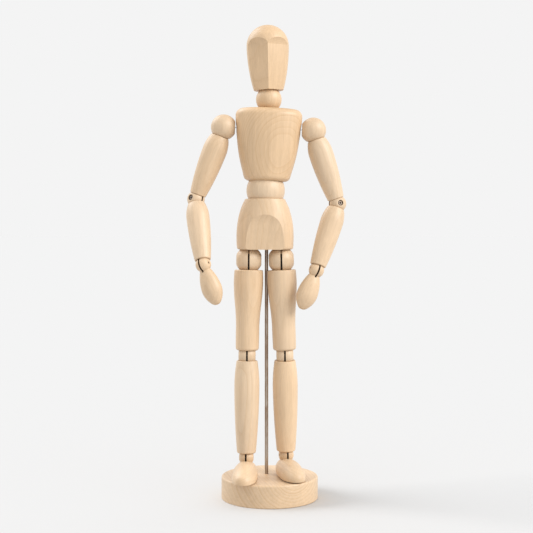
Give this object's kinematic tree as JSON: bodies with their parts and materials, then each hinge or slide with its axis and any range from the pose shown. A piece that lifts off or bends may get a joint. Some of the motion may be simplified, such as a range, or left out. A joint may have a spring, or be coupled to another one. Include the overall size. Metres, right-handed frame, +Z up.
{
  "type": "artist mannequin",
  "caption": "Jointed wooden artist's mannequin of a standing figure, held up by a steel rod on a round wooden base.",
  "frame": {"origin": "centre of the base's flat underside", "axes": "+Z up along the support rod, the figure faces -Y, its own left side is +X"},
  "size_m": [0.111, 0.0707, 0.3292],
  "materials": {
    "wood": "smooth sanded, very thin satin varnish",
    "steel": "drawn wire, satin"
  },
  "bodies": {
    "root": {"base": "wood", "support_rod": "steel"},
    "pelvis": {"pelvis": "wood", "pelvis_pin": "steel"},
    "waist_spring": {"waist_spring": "steel"},
    "waist_ball": {"waist_ball": "wood"},
    "chest": {"chest": "wood", "chest_lower_pin": "steel", "chest_upper_pin": "steel", "shoulder_spring": "steel"},
    "neck_spring": {"neck_spring": "steel"},
    "neck_ball": {"neck_ball": "wood"},
    "head": {"head": "wood", "head_pin": "steel"},
    "right_shoulder_ball": {"right_shoulder_ball": "wood", "right_shoulder_pin": "steel"},
    "right_upper_arm_spring": {"right_upper_arm_spring": "steel"},
    "right_upper_arm": {"right_upper_arm": "wood"},
    "right_elbow_knuckle": {"right_elbow_knuckle": "wood", "right_elbow_pin": "steel"},
    "right_forearm_spring": {"right_forearm_spring": "steel"},
    "right_forearm": {"right_forearm": "wood"},
    "right_hand": {"right_hand": "wood", "right_wrist_pin": "steel"},
    "right_hip_spring": {"right_hip_spring": "steel"},
    "right_hip_ball": {"right_hip_ball": "wood", "right_hip_pin": "steel"},
    "right_thigh_spring": {"right_thigh_spring": "steel"},
    "right_thigh": {"right_thigh": "wood"},
    "right_knee_knuckle": {"right_knee_knuckle": "wood", "right_knee_pin": "steel"},
    "right_shin_spring": {"right_shin_spring": "steel"},
    "right_shin": {"right_shin": "wood"},
    "right_foot": {"right_foot": "wood", "right_ankle_pin": "steel"},
    "left_shoulder_ball": {"left_shoulder_ball": "wood", "left_shoulder_pin": "steel"},
    "left_upper_arm_spring": {"left_upper_arm_spring": "steel"},
    "left_upper_arm": {"left_upper_arm": "wood"},
    "left_elbow_knuckle": {"left_elbow_knuckle": "wood", "left_elbow_pin": "steel"},
    "left_forearm_spring": {"left_forearm_spring": "steel"},
    "left_forearm": {"left_forearm": "wood"},
    "left_hand": {"left_hand": "wood", "left_wrist_pin": "steel"},
    "left_hip_spring": {"left_hip_spring": "steel"},
    "left_hip_ball": {"left_hip_ball": "wood", "left_hip_pin": "steel"},
    "left_thigh_spring": {"left_thigh_spring": "steel"},
    "left_thigh": {"left_thigh": "wood"},
    "left_knee_knuckle": {"left_knee_knuckle": "wood", "left_knee_pin": "steel"},
    "left_shin_spring": {"left_shin_spring": "steel"},
    "left_shin": {"left_shin": "wood"},
    "left_foot": {"left_foot": "wood", "left_ankle_pin": "steel"}
  },
  "joints": [
    {"name": "figure_turn", "type": "hinge", "parent": "root", "child": "pelvis", "pos_m": [-0.0022, 0.0046, 0.1738], "axis": [0, 0, 1], "continuous": true},
    {"name": "waist_turn", "type": "hinge", "parent": "pelvis", "child": "waist_spring", "pos_m": [-0.0028, 0, 0.2149], "axis": [0, 0, 1], "range_deg": [-40, 40]},
    {"name": "waist_bend", "type": "hinge", "parent": "waist_spring", "child": "waist_ball", "pos_m": [-0.0028, 0, 0.2149], "axis": [-1, 0, 0], "range_deg": [-4, 12], "deforming": ["waist_spring"]},
    {"name": "torso_tilt", "type": "hinge", "parent": "waist_ball", "child": "chest", "pos_m": [-0.0028, 0, 0.2149], "axis": [0, 1, 0], "range_deg": [-12, 2]},
    {"name": "neck_turn", "type": "hinge", "parent": "chest", "child": "neck_spring", "pos_m": [-0.0006, 0, 0.27776], "axis": [0.0349, 0, 0.9994], "range_deg": [-70, 70]},
    {"name": "neck_bend", "type": "hinge", "parent": "neck_spring", "child": "neck_ball", "pos_m": [-0.0006, 0, 0.27776], "axis": [-1, 0, 0], "range_deg": [-14, 14], "deforming": ["neck_spring"]},
    {"name": "head_tilt", "type": "hinge", "parent": "neck_ball", "child": "head", "pos_m": [-0.0006, 0, 0.27776], "axis": [0, 1, 0], "range_deg": [-14, 14]},
    {"name": "right_shoulder_swing", "type": "hinge", "parent": "chest", "child": "right_shoulder_ball", "pos_m": [-0.03189, 0, 0.25864], "axis": [-0.9994, 0, 0.0349], "range_deg": [-50, 120], "deforming": ["shoulder_spring"]},
    {"name": "right_arm_raise", "type": "hinge", "parent": "right_shoulder_ball", "child": "right_upper_arm_spring", "pos_m": [-0.03189, 0, 0.25864], "axis": [0, 1, 0], "range_deg": [-10, 45]},
    {"name": "right_upper_arm_turn", "type": "hinge", "parent": "right_upper_arm_spring", "child": "right_upper_arm", "pos_m": [-0.03189, 0, 0.25864], "axis": [0.3616, 0, 0.9323], "range_deg": [-40, 40], "deforming": ["right_upper_arm_spring"]},
    {"name": "right_elbow_upper", "type": "hinge", "parent": "right_upper_arm", "child": "right_elbow_knuckle", "pos_m": [-0.05127, 0, 0.20867], "axis": [-0.6225, -0.7445, 0.2414], "range_deg": [-18, 12]},
    {"name": "right_elbow_lower", "type": "hinge", "parent": "right_elbow_knuckle", "child": "right_forearm_spring", "pos_m": [-0.05127, 0, 0.20867], "axis": [-0.6225, -0.7445, 0.2414], "range_deg": [-18, 12]},
    {"name": "right_forearm_turn", "type": "hinge", "parent": "right_forearm_spring", "child": "right_forearm", "pos_m": [-0.05127, 0, 0.20867], "axis": [-0.1245, 0.3987, 0.9086], "range_deg": [-60, 60], "deforming": ["right_forearm_spring"]},
    {"name": "right_wrist_bend", "type": "hinge", "parent": "right_forearm", "child": "right_hand", "pos_m": [-0.04513, -0.0197, 0.16379], "axis": [-0.8249, 0.4673, -0.3181], "range_deg": [-35, 35]},
    {"name": "right_hip_turn", "type": "hinge", "parent": "pelvis", "child": "right_hip_spring", "pos_m": [-0.01445, 0, 0.1666], "axis": [0, 0, 1], "range_deg": [-10, 10]},
    {"name": "right_hip_spread", "type": "hinge", "parent": "right_hip_spring", "child": "right_hip_ball", "pos_m": [-0.01445, 0, 0.1666], "axis": [0, 1, 0], "range_deg": [0, 20], "deforming": ["right_hip_spring"]},
    {"name": "right_leg_swing", "type": "hinge", "parent": "right_hip_ball", "child": "right_thigh_spring", "pos_m": [-0.01445, 0, 0.1666], "axis": [-0.9998, 0, 0.0192], "range_deg": [0, 65]},
    {"name": "right_thigh_turn", "type": "hinge", "parent": "right_thigh_spring", "child": "right_thigh", "pos_m": [-0.01445, 0, 0.1666], "axis": [0.0192, 0.0262, 0.9995], "range_deg": [-15, 15], "deforming": ["right_thigh_spring"]},
    {"name": "right_knee_upper", "type": "hinge", "parent": "right_thigh", "child": "right_knee_knuckle", "pos_m": [-0.01573, -0.00174, 0.10003], "axis": [-0.9999, 0, 0.0131], "range_deg": [0, 12]},
    {"name": "right_knee_lower", "type": "hinge", "parent": "right_knee_knuckle", "child": "right_shin_spring", "pos_m": [-0.01573, -0.00174, 0.10003], "axis": [-0.9999, 0, 0.0131], "range_deg": [0, 12]},
    {"name": "right_shin_turn", "type": "hinge", "parent": "right_shin_spring", "child": "right_shin", "pos_m": [-0.01573, -0.00174, 0.10003], "axis": [0.007, 0.0262, 0.9996], "range_deg": [-20, 20], "deforming": ["right_shin_spring"]},
    {"name": "right_ankle_bend", "type": "hinge", "parent": "right_shin", "child": "right_foot", "pos_m": [-0.01622, -0.0036, 0.02906], "axis": [-0.9976, 0.0698, 0], "range_deg": [0, 4]},
    {"name": "left_shoulder_swing", "type": "hinge", "parent": "chest", "child": "left_shoulder_ball", "pos_m": [0.03027, 0, 0.25647], "axis": [-0.9994, 0, 0.0349], "range_deg": [-2, 120]},
    {"name": "left_arm_raise", "type": "hinge", "parent": "left_shoulder_ball", "child": "left_upper_arm_spring", "pos_m": [0.03027, 0, 0.25647], "axis": [0, -1, 0], "range_deg": [0, 45]},
    {"name": "left_upper_arm_turn", "type": "hinge", "parent": "left_upper_arm_spring", "child": "left_upper_arm", "pos_m": [0.03027, 0, 0.25647], "axis": [-0.3156, 0, 0.9489], "range_deg": [-4, 40], "deforming": ["left_upper_arm_spring"]},
    {"name": "left_elbow_upper", "type": "hinge", "parent": "left_upper_arm", "child": "left_elbow_knuckle", "pos_m": [0.04719, 0, 0.20561], "axis": [-0.3307, 0.9373, -0.11], "range_deg": [-18, 5]},
    {"name": "left_elbow_lower", "type": "hinge", "parent": "left_elbow_knuckle", "child": "left_forearm_spring", "pos_m": [0.04719, 0, 0.20561], "axis": [-0.3307, 0.9373, -0.11], "range_deg": [-18, 5]},
    {"name": "left_forearm_turn", "type": "hinge", "parent": "left_forearm_spring", "child": "left_forearm", "pos_m": [0.04719, 0, 0.20561], "axis": [0.3049, 0.2164, 0.9275], "range_deg": [-60, 60], "deforming": ["left_forearm_spring"]},
    {"name": "left_wrist_bend", "type": "hinge", "parent": "left_forearm", "child": "left_hand", "pos_m": [0.03213, -0.01069, 0.15979], "axis": [-0.8961, -0.2645, 0.3564], "range_deg": [-8, 35]},
    {"name": "left_hip_turn", "type": "hinge", "parent": "pelvis", "child": "left_hip_spring", "pos_m": [0.00805, 0, 0.1666], "axis": [0, 0, 1], "range_deg": [-10, 10]},
    {"name": "left_hip_spread", "type": "hinge", "parent": "left_hip_spring", "child": "left_hip_ball", "pos_m": [0.00805, 0, 0.1666], "axis": [0, -1, 0], "range_deg": [0, 9], "deforming": ["left_hip_spring"]},
    {"name": "left_leg_swing", "type": "hinge", "parent": "left_hip_ball", "child": "left_thigh_spring", "pos_m": [0.00805, 0, 0.1666], "axis": [-0.9993, 0, -0.0384], "range_deg": [0, 15]},
    {"name": "left_thigh_turn", "type": "hinge", "parent": "left_thigh_spring", "child": "left_thigh", "pos_m": [0.00805, 0, 0.1666], "axis": [-0.0384, 0, 0.9993], "range_deg": [-15, 15], "deforming": ["left_thigh_spring"]},
    {"name": "left_knee_upper", "type": "hinge", "parent": "left_thigh", "child": "left_knee_knuckle", "pos_m": [0.01061, 0, 0.10005], "axis": [-0.9997, 0, -0.0262], "range_deg": [0, 12]},
    {"name": "left_knee_lower", "type": "hinge", "parent": "left_knee_knuckle", "child": "left_shin_spring", "pos_m": [0.01061, 0, 0.10005], "axis": [-0.9997, 0, -0.0262], "range_deg": [0, 12]},
    {"name": "left_shin_turn", "type": "hinge", "parent": "left_shin_spring", "child": "left_shin", "pos_m": [0.01061, 0, 0.10005], "axis": [-0.0139, -0.061, 0.998], "range_deg": [-20, 20], "deforming": ["left_shin_spring"]},
    {"name": "left_ankle_bend", "type": "hinge", "parent": "left_shin", "child": "left_foot", "pos_m": [0.0116, 0.00433, 0.02919], "axis": [-0.9744, -0.225, 0], "range_deg": [0, 4]}
  ]
}
